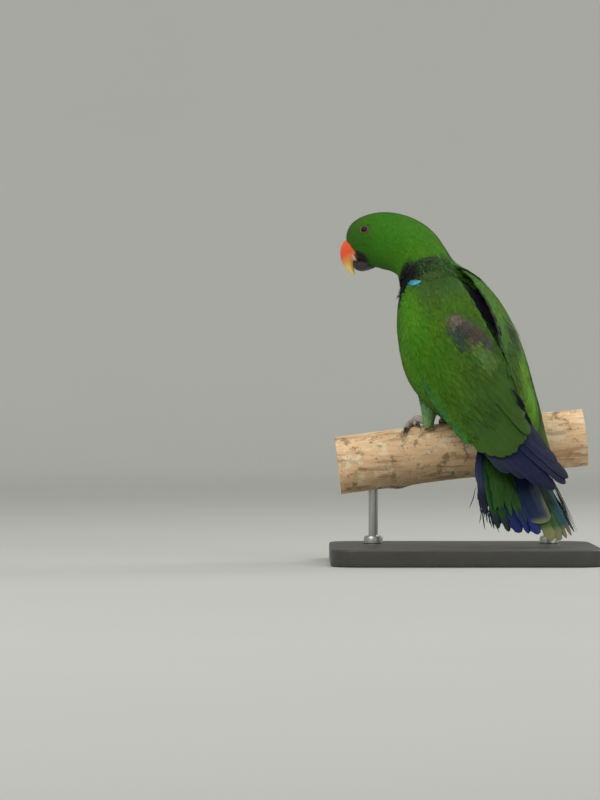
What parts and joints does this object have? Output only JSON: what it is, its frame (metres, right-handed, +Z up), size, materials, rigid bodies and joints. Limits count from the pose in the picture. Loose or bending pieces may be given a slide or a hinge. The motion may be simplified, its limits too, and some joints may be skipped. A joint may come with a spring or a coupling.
{
  "type": "eclectus parrot on a perch, still display model",
  "caption": "Life-size still model of a male eclectus parrot gripping a cut length of branch, held on rods over a flat base.",
  "frame": {"origin": "centre of the underside of the display base, at the bottom centre of the whole part's box", "axes": "+Z up, X along the perch with +X towards the bird's right, +Y away from the side that the bird is seen from"},
  "size_m": [0.25, 0.22, 0.3322],
  "materials": {
    "feathers_green": "small overlapping green body feathers, soft sheen",
    "feathers_wing": "green coverts and blue-black flight feathers, soft sheen",
    "feathers_tail": "green and blue tail feathers with pale yellow tips",
    "feathers_leg": "soft pale green leg feathers",
    "bill_upper": "coral-orange horn fading to a yellow tip, satin",
    "bill_lower": "black horn, satin",
    "eye": "wet dark pupil in a brown-orange iris",
    "foot_skin": "grey scaly skin, matt",
    "claw": "dark horn, satin",
    "perch_wood": "weathered peeled wood with dark patches",
    "stand_base": "dark stained wood, satin",
    "stand_rod": "brushed"
  },
  "bodies": {
    "root": {"head": "feathers_green", "neck": "feathers_green", "torso": "feathers_green", "wing_left": "feathers_wing", "wing_right": "feathers_wing", "tail": "feathers_tail", "thigh_left": "feathers_leg", "thigh_right": "feathers_leg", "bill_upper": "bill_upper", "bill_lower": "bill_lower", "eye_left": "eye", "eye_right": "eye", "foot_left": "foot_skin", "foot_right": "foot_skin", "claw_left_1": "claw", "claw_left_2": "claw", "claw_left_3": "claw", "claw_left_4": "claw", "claw_right_1": "claw", "claw_right_2": "claw", "claw_right_3": "claw", "claw_right_4": "claw", "perch": "perch_wood", "stand_base": "stand_base", "stand_rod_left": "stand_rod", "stand_rod_right": "stand_rod"}
  },
  "joints": []
}
